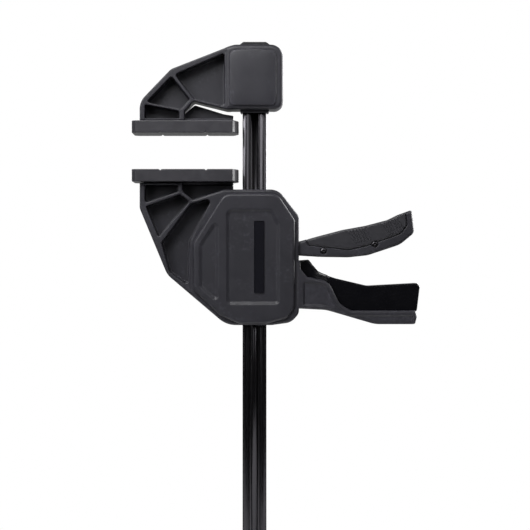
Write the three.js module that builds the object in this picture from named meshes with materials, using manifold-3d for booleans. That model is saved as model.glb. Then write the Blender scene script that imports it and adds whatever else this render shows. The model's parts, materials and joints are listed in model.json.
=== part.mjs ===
// A one-handed bar clamp with a trigger, built as it comes apart on a bench.
//
// Frame: millimetres, +Z up along the bar towards the fixed jaw, +X from the clamping
// faces towards the handle, Y across the clamp. The origin is the middle of the fixed
// pad's clamping face. Every outline below is drawn in the bar's own group, whose X is
// measured from the bar's axis.
import * as THREE from 'three';
import { mergeVertices } from 'three/addons/utils/BufferGeometryUtils.js';
import Module from 'manifold-3d';

const wasm = await Module();
wasm.setup();

// ---- Driving dimensions -------------------------------------------------------------

const GAP = 0.3; // clearance kept between touching pieces
const SHORTEST_ROUND = 0.25; // a corner rounded by less than this stays sharp

const BAR_X = 61; // bar axis from the middle of the clamping faces
const BAR_HALF_WIDTH = 10.4;
const BAR_HALF_DEPTH = 5;
const BAR_TOP = 76.2;
const BAR_BOTTOM = -448;
const GROOVE_HALF_WIDTH = 4.6;
const GROOVE_DEPTH = 1.3;
const STOP_PIN_Z = -440.5;

const JAW_OPENING = 31.3; // distance between the two clamping faces as built
const PAD_LEFT = -105.8;
const PAD_RIGHT = -17;
const PAD_NOSE = -13.8; // the middle of the pad's right end
const PAD_HALF_DEPTH = 22;
const PAD_THICKNESS = 10.6;
const PAD_SOLE = 5; // thickness left under the pad's pocket
const PAD_NOTCHES = [-81.1, -41.7];
const NOTCH_DEPTH = 1.1;

const ARM_HALF = 16; // half depth of an arm's flanges
const WEB_HALF = 2.5; // half thickness of an arm's web
const HEAD_HALF = 17;
const HEAD_BOTTOM = 20.6;
const HEAD_TOP = 76.6;
const CAP_TOP = 79.7;
const BODY_HALF = 17;
const COVER_OUT = 20.3; // outer face of the body covers
const HEAD_COVER_OUT = 19.3;
const RECESS_DEPTH = 1.3;

const FOOT_END = -18.5; // where the feet of both arms end, beside the bar
const TENON = { left: -96, right: -23, half: 11 };

const SLOT_HALF = 14.7; // half width of the slot and channel that hold the two levers
const TRIGGER_HALF = 13.8;
const GRIP_HALF = 14.2;
const TONGUE_HALF = 10.4;
const CHEEK = { inner: 8.3, outer: 11.3 };
const NECK_HALF = 7; // half thickness of the release lever's neck
const LEVER_HALF = 12;

const TRIGGER_PIVOT = [-20, -98];
const RELEASE_PIVOT = [-22, -138];
const PIVOT_PIN_RADIUS = 3;

const DRIVE_PLATE = { top: -106, thickness: 3, count: 3, half: 12.5, reach: 15.5 };
const SHELF = { top: -127.5, bottom: -131 };
const BRAKE_PLATE = { top: -136, bottom: -140, half: 11, right: 28 };
const BRAKE_SPRING_X = 17;
const BRAKE_LEDGE_TOP = -152.3;

const HEAD_PINS = [35, 60]; // heights of the pins that hold the head on the bar
const TRIGGER_SCREWS = [[59.8, -101.8], [104.1, -95.9]];
const COVER_SCREWS = [[-31, -76], [24, -72], [26.5, -150.5], [-38.5, -135.5]];

// ---- Finishes -----------------------------------------------------------------------

const finish = (color, roughness, metalness) =>
  new THREE.MeshStandardMaterial({ color, roughness, metalness });

const charcoal = finish(0x3e3e44, 0.55, 0);
const padRubber = finish(0x434349, 0.75, 0);
const gripRubber = finish(0x36363b, 0.8, 0);
const glossBlack = finish(0x0e0e11, 0.22, 0);
const blackSteel = finish(0x1d1d20, 0.35, 0.85);
const brightSteel = finish(0x9a9a9e, 0.3, 1);
const springSteel = finish(0x77777c, 0.35, 1);
const labelBlack = finish(0x1a1a1d, 0.45, 0);
const nylon = finish(0x222226, 0.5, 0);

// ---- Geometry helpers ---------------------------------------------------------------

// A closed three.js geometry as a solid that can be joined and cut.
function solid(geometry) {
  geometry.deleteAttribute('normal');
  geometry.deleteAttribute('uv');
  const merged = mergeVertices(geometry, 1e-4);
  return new wasm.Manifold(new wasm.Mesh({
    numProp: 3,
    vertProperties: merged.attributes.position.array,
    triVerts: new Uint32Array(merged.index.array),
  }));
}

// A shape from corner points [x, y, radius]; a radius rounds its corner, unless the
// outline hardly turns there.
function shapeOf(points) {
  const shape = new THREE.Shape();
  points.forEach(([x, y, radius = 0], i) => {
    const corner = new THREE.Vector2(x, y);
    const toBefore = new THREE.Vector2(...points.at(i - 1)).sub(corner);
    const toAfter = new THREE.Vector2(...points[(i + 1) % points.length]).sub(corner);
    const room = 0.48 * Math.min(toBefore.length(), toAfter.length());
    const halfAngle = toBefore.angleTo(toAfter) / 2;
    const wanted = Math.min(radius / Math.tan(halfAngle), room);
    const reach = wanted > SHORTEST_ROUND ? wanted : 0;
    const start = corner.clone().addScaledVector(toBefore.normalize(), reach);
    const end = corner.clone().addScaledVector(toAfter.normalize(), reach);
    if (i === 0) shape.moveTo(start.x, start.y);
    else shape.lineTo(start.x, start.y);
    if (reach > 0) shape.quadraticCurveTo(corner.x, corner.y, end.x, end.y);
  });
  shape.closePath();
  return shape;
}

// The same corners moved outwards by a distance, for clearances. Counter-clockwise or
// clockwise outlines both grow outwards.
function grown(points, distance) {
  const plain = points.map(([x, y]) => new THREE.Vector2(x, y));
  const side = THREE.ShapeUtils.isClockWise(plain) ? -1 : 1;
  const normal = (a, b) => new THREE.Vector2(b.y - a.y, a.x - b.x).normalize().multiplyScalar(side);
  return points.map(([x, y, radius], i) => {
    const here = plain[i];
    const n1 = normal(plain.at(i - 1), here);
    const n2 = normal(here, plain[(i + 1) % plain.length]);
    const miter = n1.clone().add(n2).multiplyScalar(distance / (1 + n1.dot(n2)));
    return [x + miter.x, y + miter.y, radius];
  });
}

// An outline in X and Z, extruded across the clamp between two Y values.
function slab(points, fromY, toY, bevel = 0) {
  const geometry = new THREE.ExtrudeGeometry(shapeOf(points), {
    depth: toY - fromY - 2 * bevel,
    curveSegments: 3,
    bevelEnabled: bevel > 0,
    bevelThickness: bevel,
    bevelSize: bevel,
    bevelOffset: -bevel,
    bevelSegments: 1,
  });
  return solid(geometry.rotateX(Math.PI / 2).translate(0, toY - bevel, 0));
}

// The same outline on both sides of the middle plane.
const pair = (points, inner, outer) =>
  slab(points, inner, outer).add(slab(points, -outer, -inner));

// An outline in X and Y, extruded up the bar between two Z values.
function column(points, fromZ, toZ) {
  const settings = { depth: toZ - fromZ, curveSegments: 3, bevelEnabled: false };
  return solid(new THREE.ExtrudeGeometry(shapeOf(points), settings).translate(0, 0, fromZ));
}

function block([x0, x1], [y0, y1], [z0, z1]) {
  const geometry = new THREE.BoxGeometry(x1 - x0, y1 - y0, z1 - z0);
  return solid(geometry.translate((x0 + x1) / 2, (y0 + y1) / 2, (z0 + z1) / 2));
}

// A round bar across the clamp, for pins, holes and bosses.
function rod([x, z], radius, fromY, toY, sides = 16) {
  const geometry = new THREE.CylinderGeometry(radius, radius, toY - fromY, sides);
  return solid(geometry.translate(x, (fromY + toY) / 2, z));
}

// A vertical slot for the bar, with an even clearance all round.
const barSlot = (clearance, fromZ, toZ) => block(
  [-BAR_HALF_WIDTH - clearance, BAR_HALF_WIDTH + clearance],
  [-BAR_HALF_DEPTH - clearance, BAR_HALF_DEPTH + clearance],
  [fromZ, toZ],
);

class Helix extends THREE.Curve {
  constructor(radius, fromZ, toZ, turns) {
    super();
    Object.assign(this, { radius, fromZ, toZ, turns });
  }

  getPoint(t, target = new THREE.Vector3()) {
    const angle = 2 * Math.PI * this.turns * t;
    const height = THREE.MathUtils.lerp(this.fromZ, this.toZ, t);
    return target.set(this.radius * Math.cos(angle), this.radius * Math.sin(angle), height);
  }
}

function coilSpring(radius, wire, fromZ, toZ, turns) {
  const section = new THREE.Shape().absarc(0, 0, wire, 0, 2 * Math.PI);
  const path = new Helix(radius, fromZ + wire, toZ - wire, turns);
  const settings = {
    extrudePath: path, steps: Math.round(10 * turns), curveSegments: 3, bevelEnabled: false,
  };
  return solid(new THREE.ExtrudeGeometry(section, settings));
}

function addPart(parent, name, shape, material) {
  const { vertProperties, triVerts } = shape.getMesh();
  const geometry = new THREE.BufferGeometry();
  geometry.setAttribute('position', new THREE.BufferAttribute(new Float32Array(vertProperties), 3));
  geometry.setIndex(new THREE.BufferAttribute(new Uint32Array(triVerts), 1));
  geometry.computeVertexNormals();
  const mesh = new THREE.Mesh(geometry, material);
  mesh.name = name;
  parent.add(mesh);
  return mesh;
}

// ---- Bar ----------------------------------------------------------------------------

// A cold-drawn steel bar with a shallow groove down each broad side.
function barSolid() {
  const floor = GROOVE_HALF_WIDTH - 0.9;
  const bottomSide = [
    [-BAR_HALF_WIDTH, -BAR_HALF_DEPTH, 1.8],
    [-GROOVE_HALF_WIDTH, -BAR_HALF_DEPTH, 0.8],
    [-floor, -BAR_HALF_DEPTH + GROOVE_DEPTH],
    [floor, -BAR_HALF_DEPTH + GROOVE_DEPTH],
    [GROOVE_HALF_WIDTH, -BAR_HALF_DEPTH, 0.8],
    [BAR_HALF_WIDTH, -BAR_HALF_DEPTH, 1.8],
  ];
  const topSide = bottomSide.map(([x, y, radius]) => [-x, -y, radius]);
  let bar = column([...bottomSide, ...topSide], BAR_BOTTOM, BAR_TOP);
  for (const z of HEAD_PINS) bar = bar.subtract(rod([0, z], PIVOT_PIN_RADIUS + GAP, -9, 9));
  return bar.subtract(rod([0, STOP_PIN_Z], 2 + GAP, -9, 9));
}

// ---- Fixed jaw ----------------------------------------------------------------------

const FIXED_JAW = [
  [-99.2, 11], [-99.2, 27.2, 16], [-72.2, 55.3, 12], [-17.6, HEAD_TOP, 16], [24.9, HEAD_TOP, 11],
  [24.9, HEAD_BOTTOM, 8], [-24, HEAD_BOTTOM, 5], [-52.6, 27.6, 2.5], [-60.4, 18.9, 2],
  [-60.4, 11],
];
const HEAD = [
  [-25.6, 73.8, 2], [-17.6, HEAD_TOP, 16], [24.9, HEAD_TOP, 11], [24.9, HEAD_BOTTOM, 8],
  [-25, HEAD_BOTTOM, 2],
];
const FIXED_POCKETS = [
  [[-69.2, 50.7, 2.5], [-25.8, 69.5, 2], [-25.5, 22.5, 3.5], [-52.4, 29.6, 2]],
  [[-71.8, 49.4, 2], [-55.7, 29.2, 1.5], [-63.6, 20.2, 2], [-93.4, 26.8, 1.5]],
  [[-94.8, 24.8, 1.5], [-65.2, 19.2, 1.5], [-64.8, 12.6, 1], [-94.8, 12.6, 1]],
];
const FIXED_GUSSET = [
  [-60.4, 11.2], [-60.4, 17.8], [-52, 25.2, 2], [-26.6, 17.3, 8], [FOOT_END, 16],
  [FOOT_END, 11.2],
];
const HEAD_PANEL = [
  [-21.8, 71.4, 5], [-1, 73.4, 60], [19.2, 71.4, 5], [19.2, 23.6, 4], [-21.8, 23.6, 4],
];

// The tongue on a foot that the pad pushes on to; side is +1 above the gap, -1 below.
function tenon(face, side) {
  const near = face + side * (PAD_SOLE + GAP);
  const far = face + side * (PAD_THICKNESS + 1.5);
  const heights = [Math.min(near, far), Math.max(near, far)];
  return block([TENON.left, TENON.right], [-TENON.half, TENON.half], heights);
}

function footPlate(face, side) {
  const near = face + side * (PAD_THICKNESS + GAP);
  const far = near + side * 2;
  const heights = [Math.min(near, far), Math.max(near, far)];
  return block([-62, FOOT_END], [-TENON.half, TENON.half], heights);
}

function fixedJawSolid() {
  let jaw = slab(FIXED_JAW, -ARM_HALF, ARM_HALF);
  jaw = jaw.add(slab(HEAD, -HEAD_HALF, HEAD_HALF, 1.2));
  for (const pocket of FIXED_POCKETS) jaw = jaw.subtract(pair(pocket, WEB_HALF, HEAD_HALF + 1));
  jaw = jaw.add(slab(FIXED_GUSSET, -WEB_HALF, WEB_HALF)).add(tenon(0, 1)).add(footPlate(0, 1));
  const collar = [[-13.2, HEAD_BOTTOM + 1], [13.6, HEAD_BOTTOM + 1], [12, 18.1], [-12, 18.1]];
  jaw = jaw.add(slab(collar, -9, 9)).subtract(barSlot(GAP, 10, 80));
  for (const z of HEAD_PINS) jaw = jaw.subtract(rod([0, z], PIVOT_PIN_RADIUS + GAP, -20, 20));
  return jaw;
}

// A raised plate on the face of the head, chamfered round its outer edge.
function headCoverSolid(side) {
  const inner = HEAD_HALF + GAP;
  const plate = side > 0
    ? slab(HEAD_PANEL, inner - 2, HEAD_COVER_OUT, 0.7)
    : slab(HEAD_PANEL, -HEAD_COVER_OUT, 2 - inner, 0.7);
  const inside = block([-40, 40], [-inner, inner], [0, 100]);
  return plate.subtract(inside);
}

function headCapSolid() {
  const cap = [
    [-13.4, HEAD_TOP + GAP], [-9.8, CAP_TOP, 0.8], [10, CAP_TOP, 0.8], [14, HEAD_TOP + GAP],
  ];
  return slab(cap, -8, 8);
}

// ---- Pads ---------------------------------------------------------------------------

// A soft pad with a flat clamping face, two shallow cross notches and a pocket that
// pushes on to the foot's tongue.
function padSolid(face, side) {
  const corner = 3.5;
  const depth = PAD_HALF_DEPTH;
  const plan = [
    [PAD_LEFT, -depth + corner, 1], [PAD_LEFT + corner, -depth, 1], [PAD_RIGHT - 2, -depth, 1],
    [PAD_RIGHT, -depth + 2.5, 1], [PAD_NOSE, -8, 3], [PAD_NOSE, 8, 3], [PAD_RIGHT, depth - 2.5, 1],
    [PAD_RIGHT - 2, depth, 1], [PAD_LEFT + corner, depth, 1], [PAD_LEFT, depth - corner, 1],
  ];
  const back = face + side * PAD_THICKNESS;
  let pad = column(plan, Math.min(face, back), Math.max(face, back));
  const sole = face + side * PAD_SOLE;
  const over = back + side * 2;
  pad = pad.subtract(block(
    [TENON.left - GAP, TENON.right + GAP],
    [-TENON.half - GAP, TENON.half + GAP],
    [Math.min(sole, over), Math.max(sole, over)],
  ));
  for (const x of PAD_NOTCHES) {
    const notch = [
      [x - 1.6, face - side * 0.5], [x, face + side * NOTCH_DEPTH], [x + 1.6, face - side * 0.5],
    ];
    pad = pad.subtract(slab(notch, -depth - 1, depth + 1));
  }
  return pad;
}

// ---- Sliding jaw --------------------------------------------------------------------

const SLIDING_JAW = [
  [-99.2, -43], [-99.2, -65, 12], [-75.3, -122.4, 18], [-24.2, -165.9, 22], [15, -165.9, 16],
  [31.6, -163.6, 12], [38.5, -156, 8], [38.5, -71.8, 6], [20.6, -48.7, 14], [-26.5, -48.7, 10],
  [-53.1, -57.4, 3], [-62.3, -50.5, 4], [-62.3, -43],
];
const SLIDING_POCKETS = [
  [[-94.8, -44.6, 1], [-65.9, -44.6, 1], [-65.9, -50.6, 1.5], [-94.8, -60.4, 2]],
  [[-94, -63.2, 1.5], [-64.1, -52.6, 2], [-56.2, -59.1, 2], [-82.9, -90.4, 1.5]],
  [[-55, -60.7, 2], [-36.2, -56, 2.5], [-56, -94, 5], [-57.5, -131.5, 2], [-73.6, -119.8, 6],
   [-80.6, -94.8, 3]],
];
const SLIDING_GUSSET = [
  [-62.3, -43.4], [-62.3, -50.5, 2], [-53.1, -57.4, 2], [-26.5, -48.9, 6], [FOOT_END, -48.9],
  [FOOT_END, -43.4],
];
const BODY_CAVITY = [
  [-22.5, -58, 4], [19.5, -58, 5], [31, -79, 3], [31, -147, 6], [21, -158, 8], [8, -160, 8],
  [-10, -160, 10], [-26, -154.5, 8], [-48, -134, 4], [-48, -98, 4],
];
const BODY_COVER = [
  [-26.5, -52.3, 12], [20, -52.3, 12], [34.9, -75, 6], [34.9, -150.2, 8], [28.4, -159.8, 9],
  [9.7, -164.7, 10], [-13, -164.7, 14], [-29.9, -157.4, 14], [-52.8, -135.2, 8], [-53.3, -95, 8],
];
const LABEL = [[-0.3, -75.8, 0.6], [8.4, -75.8, 0.6], [8.4, -138, 0.6], [-0.3, -138, 0.6]];
const COVER_RECESSES = [
  [[-31, -70.8, 3], [-47.8, -96.6, 5], [-47.8, -133.2, 5], [-31, -147.4, 3]],
  [[-24.5, -65.7, 6], [15, -65.7, 4], [21.6, -78.8, 4], [21.6, -148.3, 4], [-24.5, -148.3, 4]],
];

const HANDLE = [
  [36, -110], [39.6, -110.4], [40, -117.4, 4], [45, -124, 5], [60.5, -127.3, 8], [65.3, -130.5, 5],
  [73.5, -147, 10], [83, -153.2, 10], [139, -153.2, 1], [140.4, -158.5, 2], [138.8, -165.1, 2],
  [104, -165.1, 30], [62, -152.8, 30], [36, -151.5],
];
const CHANNEL = [
  [38.8, -100], [38.8, -148.6, 3], [62, -150.2, 25], [104, -162.8, 30], [146, -162.8],
  [146, -100],
];

function slidingArm() {
  let arm = slab(SLIDING_JAW, -BODY_HALF, BODY_HALF);
  for (const pocket of SLIDING_POCKETS) arm = arm.subtract(pair(pocket, WEB_HALF, BODY_HALF + 1));
  const narrowed = block([-110, -56.9], [ARM_HALF, BODY_HALF + 1], [-170, -40]);
  arm = arm.subtract(narrowed).subtract(narrowed.mirror([0, 1, 0]));
  arm = arm.add(slab(SLIDING_GUSSET, -WEB_HALF, WEB_HALF));
  return arm.add(tenon(-JAW_OPENING, -1)).add(footPlate(-JAW_OPENING, -1));
}

// Lugs on the left wall that carry a pivot pin on both sides of the mechanism.
function pivotLugs([x, z], halfHeight) {
  const lug = [
    [-49, z - halfHeight], [-49, z + halfHeight], [x + 6, z + halfHeight, 5],
    [x + 6, z - halfHeight, 5],
  ];
  const lugs = pair(lug, 12, BODY_HALF - 0.5);
  return lugs.subtract(rod([x, z], PIVOT_PIN_RADIUS + GAP, -20, 20));
}

function springShelf() {
  const shelf = block([-52, 18], [-15, 15], [SHELF.bottom, SHELF.top]);
  return shelf.subtract(barSlot(1, SHELF.bottom - 1, SHELF.top + 1));
}

function slidingFrameSolid() {
  let frame = slidingArm().subtract(slab(BODY_CAVITY, -20, 20));
  for (const place of COVER_SCREWS) {
    frame = frame.add(rod(place, 4.6, 0.5 - BODY_HALF, BODY_HALF - 0.5, 14));
  }
  frame = frame.add(pivotLugs(TRIGGER_PIVOT, 8)).add(pivotLugs(RELEASE_PIVOT, 5.5));
  frame = frame.add(springShelf());
  frame = frame.add(block([12.8, 33], [-8, 8], [BRAKE_LEDGE_TOP - 3.5, BRAKE_LEDGE_TOP]));
  frame = frame.add(slab(HANDLE, -BODY_HALF, BODY_HALF).subtract(slab(CHANNEL, -SLOT_HALF, SLOT_HALF)));
  frame = frame.subtract(block([29, 39.7], [-SLOT_HALF, SLOT_HALF], [-124.9, -90]));
  const guideSlot = block([-13.8, 13.8], [-8.8, 8.8], [-168, -40]);
  const walls = slab(BODY_CAVITY, -12, 12);
  frame = frame.subtract(guideSlot.subtract(walls));
  for (const place of COVER_SCREWS) frame = frame.subtract(rod(place, 2.1, -20, 20, 10));
  return frame.subtract(barSlot(GAP, -170, -40));
}

function coverPlate(side) {
  const inner = BODY_HALF + GAP;
  let plate = side > 0
    ? slab(BODY_COVER, inner - 2, COVER_OUT, 1)
    : slab(BODY_COVER, -COVER_OUT, 2 - inner, 1);
  plate = plate.subtract(block([-80, 80], [-inner, inner], [-200, 0]));
  for (const recess of COVER_RECESSES) {
    plate = plate.subtract(pair(recess, COVER_OUT - RECESS_DEPTH, COVER_OUT + 1));
  }
  return plate;
}

// The front cover is held by short pegs pushed into the screw bosses.
function frontCoverSolid() {
  let cover = coverPlate(-1);
  for (const place of COVER_SCREWS) cover = cover.add(rod(place, 1.8, -18, -14.5, 10));
  return cover;
}

function rearCoverSolid() {
  let cover = coverPlate(1);
  for (const place of COVER_SCREWS) {
    cover = cover.subtract(rod(place, 1.9, 16, 22, 10)).subtract(rod(place, 3.6, 18.4, 22, 14));
  }
  return cover;
}

function labelSolid(side) {
  const inner = COVER_OUT - RECESS_DEPTH + GAP;
  return side > 0 ? slab(LABEL, inner, inner + 0.6) : slab(LABEL, -inner - 0.6, -inner);
}

function guideSolid(fromZ, toZ) {
  const bush = block([-13.5, 13.5], [-8.5, 8.5], [fromZ, toZ]);
  return bush.subtract(barSlot(0.15, fromZ - 1, toZ + 1));
}

// A countersunk screw across the clamp, its head towards +Y or -Y.
function screwSolid(place, headRadius, shankRadius, headY, tipY) {
  const out = Math.sign(headY);
  const seat = headY - out * 1.5;
  const head = rod(place, headRadius, Math.min(headY, seat), Math.max(headY, seat), 14);
  const shank = rod(place, shankRadius, Math.min(seat, tipY), Math.max(seat, tipY), 10);
  const drive = block([place[0] - headRadius, place[0] + headRadius], [headY - 0.7, headY + 0.7],
    [place[1] - 0.45, place[1] + 0.45]);
  return head.add(shank).subtract(drive);
}

// ---- Trigger ------------------------------------------------------------------------

const TRIGGER = [
  [35, -94.5], [56.3, -88.8, 20], [76, -83.6, 12], [96, -80, 20], [115.4, -74.9, 12],
  [125.4, -70, 10], [136.2, -66.2, 1.5], [138.4, -86, 6], [126, -96.3, 20], [98, -105.6, 25],
  [82, -107.3, 25], [56, -106.9, 20], [35, -105.6],
];
const TRIGGER_GRIP = [
  [44, -92.2, 2], [56.3, -88.8, 20], [76, -83.6, 12], [96, -80, 20], [115.4, -74.9, 12],
  [125.4, -70, 10], [130.8, -68.2, 1.5], [132.2, -79.8, 4], [125.9, -87.1, 6], [97.7, -97.2, 14],
  [82, -100.9, 14], [47, -96.9, 2],
];
// The shells' tongue inside the grip; its lower edge lies inside the rim below the grip.
const TONGUE = [
  [50, -95, 1], [57, -92.6, 8], [76, -87.4, 8], [96.5, -83.8, 8], [117, -78.4, 8],
  [126.5, -73.6, 1.5], [127.6, -79.4, 2], [130, -84.5], [118, -93], [98, -101], [82, -104],
  [50, -102],
];
const CHEEK_OUTLINE = [
  [-26.5, -98, 5.5], [-24, -91.8, 4], [-14, -92, 4], [36, -95.6, 4], [74, -94, 3], [74, -105, 3],
  [30, -105, 6], [14, -101, 4], [8, -104, 2], [4, -105.9, 1.5], [0, -104, 2], [-14, -104, 4],
  [-24, -104.2, 4],
];
const YOKE_BRIDGE = [63, 71];

function yokeSolid() {
  const cheeks = pair(CHEEK_OUTLINE, CHEEK.inner, CHEEK.outer);
  const bridge = block(YOKE_BRIDGE, [-CHEEK.inner - 0.5, CHEEK.inner + 0.5], [-102, -96]);
  const pinHole = rod(TRIGGER_PIVOT, PIVOT_PIN_RADIUS + GAP, -20, 20);
  return cheeks.add(bridge).subtract(pinHole).subtract(rod(TRIGGER_SCREWS[0], 1.9, -20, 20, 10));
}

// The room that the yoke's cheeks need inside the shells and the grip.
const cheekPocket = () => pair(grown(CHEEK_OUTLINE, GAP), CHEEK.inner - GAP, CHEEK.outer + GAP);

function triggerShells() {
  let shells = slab(TRIGGER, -TRIGGER_HALF, TRIGGER_HALF, 0.8);
  shells = shells.subtract(slab(grown(TRIGGER_GRIP, GAP), -20, 20));
  shells = shells.add(slab(TONGUE, -TONGUE_HALF, TONGUE_HALF));
  shells = shells.subtract(cheekPocket());
  const bridge = [YOKE_BRIDGE[0] - GAP, YOKE_BRIDGE[1] + GAP];
  shells = shells.subtract(block(bridge, [-10, 10], [-102.3, -95.7]));
  // The fork that straddles the release lever's neck.
  shells = shells.subtract(block([30, 58], [-CHEEK.outer - GAP, CHEEK.outer + GAP], [-110, -95.6]));
  for (const place of TRIGGER_SCREWS) shells = shells.subtract(rod(place, 1.9, -20, 8.6, 10));
  for (const place of TRIGGER_SCREWS) shells = shells.subtract(rod(place, 2.9, -20, -12.1, 14));
  return shells;
}

function triggerShellSolid(side) {
  const kept = side > 0 ? [GAP / 2, 20] : [-20, -GAP / 2];
  return triggerShells().intersect(block([0, 160], kept, [-130, -40]));
}

function gripSolid() {
  let grip = slab(TRIGGER_GRIP, -GRIP_HALF, GRIP_HALF, 1);
  grip = grip.subtract(slab(grown(TONGUE, GAP), -TONGUE_HALF - GAP, TONGUE_HALF + GAP));
  grip = grip.subtract(cheekPocket());
  return grip.subtract(rod(TRIGGER_SCREWS[1], 3.1, -20, -10, 14));
}

// ---- Drive and brake ----------------------------------------------------------------

function drivePlateSolid(index) {
  const top = DRIVE_PLATE.top - index * (DRIVE_PLATE.thickness + GAP);
  const { reach, half, thickness } = DRIVE_PLATE;
  const plan = [[-reach, -half, 3], [reach, -half, 3], [reach, half, 3], [-reach, half, 3]];
  return column(plan, top - thickness, top).subtract(barSlot(0.4, top - 9, top + 9));
}

// The brake plate hangs on its pivot pin by a rolled end and grips the bar when it tips.
function brakePlateSolid() {
  const { top, bottom, half, right } = BRAKE_PLATE;
  const [pivotX] = RELEASE_PIVOT;
  const plan = [[pivotX, -half], [18, -half, 3], [22, -6.6, 1], [right, -6.6, 1],
    [right, 6.6, 1], [22, 6.6, 1], [18, half, 3], [pivotX, half]];
  const plate = column(plan, bottom, top).add(rod(RELEASE_PIVOT, 5.4, -half, half, 18));
  const slot = barSlot(0.8, bottom - 9, top + 9);
  return plate.subtract(slot).subtract(rod(RELEASE_PIVOT, PIVOT_PIN_RADIUS + GAP, -20, 20));
}

const LEVER_NECK = [
  [21, -135, 1], [21, -119, 4], [30, -110.6, 4], [47, -109.2, 2], [50.4, -113.6, 4],
  [57.3, -121.5, 8], [62, -123.5], [62, -141], [45, -127, 6], [38, -121.8, 4], [30, -122.4, 3],
  [29.6, -143.4, 1.5], [21, -143.4, 1.5],
];
const LEVER = [
  [56.5, -120.9], [70, -125.4, 10], [97.6, -131.9, 12], [143.6, -129.4, 3.5],
  [140.6, -154.2, 2], [86, -154.2, 14], [74, -149.6, 10], [56.5, -136],
];

function releaseLeverSolid() {
  let lever = slab(LEVER_NECK, -NECK_HALF, NECK_HALF);
  lever = lever.add(slab(LEVER, -LEVER_HALF, LEVER_HALF, 1));
  const tab = { z: [BRAKE_PLATE.bottom - GAP, BRAKE_PLATE.top + GAP], y: [-6.9, 6.9] };
  lever = lever.subtract(block([15, BRAKE_PLATE.right + GAP], [-8, 8], tab.z));
  return lever;
}

// ---- Assembly -----------------------------------------------------------------------

const clamp = new THREE.Group();
const onBar = new THREE.Group();
onBar.position.x = BAR_X;
clamp.add(onBar);

// Bar and fixed jaw.
addPart(onBar, 'bar', barSolid(), blackSteel);
addPart(onBar, 'bar_stop_pin', rod([0, STOP_PIN_Z], 2, -11, 11, 12), brightSteel);
addPart(onBar, 'fixed_jaw', fixedJawSolid(), charcoal);
addPart(onBar, 'head_cover_front', headCoverSolid(-1), charcoal);
addPart(onBar, 'head_cover_rear', headCoverSolid(1), charcoal);
addPart(onBar, 'head_top_cap', headCapSolid(), nylon);
HEAD_PINS.forEach((z, i) => {
  addPart(onBar, `head_pin_${i + 1}`, rod([0, z], PIVOT_PIN_RADIUS, -16.6, 16.6), brightSteel);
});
addPart(onBar, 'fixed_pad', padSolid(0, 1), padRubber);

// Sliding jaw with its body, handle and covers.
addPart(onBar, 'sliding_jaw_frame', slidingFrameSolid(), charcoal);
addPart(onBar, 'body_cover_front', frontCoverSolid(), charcoal);
addPart(onBar, 'body_cover_rear', rearCoverSolid(), charcoal);
addPart(onBar, 'label_strip_front', labelSolid(-1), labelBlack);
addPart(onBar, 'label_strip_rear', labelSolid(1), labelBlack);
addPart(onBar, 'sliding_pad', padSolid(-JAW_OPENING, -1), padRubber);
addPart(onBar, 'upper_bar_guide', guideSolid(-57.7, -49.1), nylon);
addPart(onBar, 'lower_bar_guide', guideSolid(-165, -160.3), nylon);
COVER_SCREWS.forEach((place, i) => {
  addPart(onBar, `cover_screw_${i + 1}`, screwSolid(place, 3.2, 1.6, 20.1, -12), brightSteel);
});
addPart(onBar, 'trigger_pivot_pin', rod(TRIGGER_PIVOT, PIVOT_PIN_RADIUS, -16.6, 16.6), brightSteel);
addPart(onBar, 'release_pivot_pin', rod(RELEASE_PIVOT, PIVOT_PIN_RADIUS, -16.6, 16.6), brightSteel);

// Trigger.
addPart(onBar, 'trigger_yoke', yokeSolid(), brightSteel);
addPart(onBar, 'trigger_shell_front', triggerShellSolid(-1), charcoal);
addPart(onBar, 'trigger_shell_rear', triggerShellSolid(1), charcoal);
addPart(onBar, 'trigger_grip', gripSolid(), gripRubber);
TRIGGER_SCREWS.forEach((place, i) => {
  addPart(onBar, `trigger_screw_${i + 1}`, screwSolid(place, 2.3, 1.5, -13.6, 8), blackSteel);
});

// Drive plates and their return spring, stacked under the trigger's cheeks.
for (let i = 0; i < DRIVE_PLATE.count; i += 1) {
  addPart(onBar, `drive_plate_${i + 1}`, drivePlateSolid(i), brightSteel);
}
const plateStack = DRIVE_PLATE.count * (DRIVE_PLATE.thickness + GAP);
const driveSpringTop = DRIVE_PLATE.top - plateStack;
addPart(onBar, 'drive_spring', coilSpring(13.2, 0.9, SHELF.top + GAP, driveSpringTop, 3.5), springSteel);

// Brake: release lever, brake plate and brake spring.
addPart(onBar, 'release_lever', releaseLeverSolid(), glossBlack);
addPart(onBar, 'brake_plate', brakePlateSolid(), brightSteel);
const brakeCoil = coilSpring(3.2, 0.6, BRAKE_LEDGE_TOP + GAP, BRAKE_PLATE.bottom - GAP, 4);
addPart(onBar, 'brake_spring', brakeCoil.translate([BRAKE_SPRING_X, 0, 0]), springSteel);

export default clamp;
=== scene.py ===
import functools
import json
import math

import bpy
import numpy as np
from mathutils import Matrix, Vector

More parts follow.
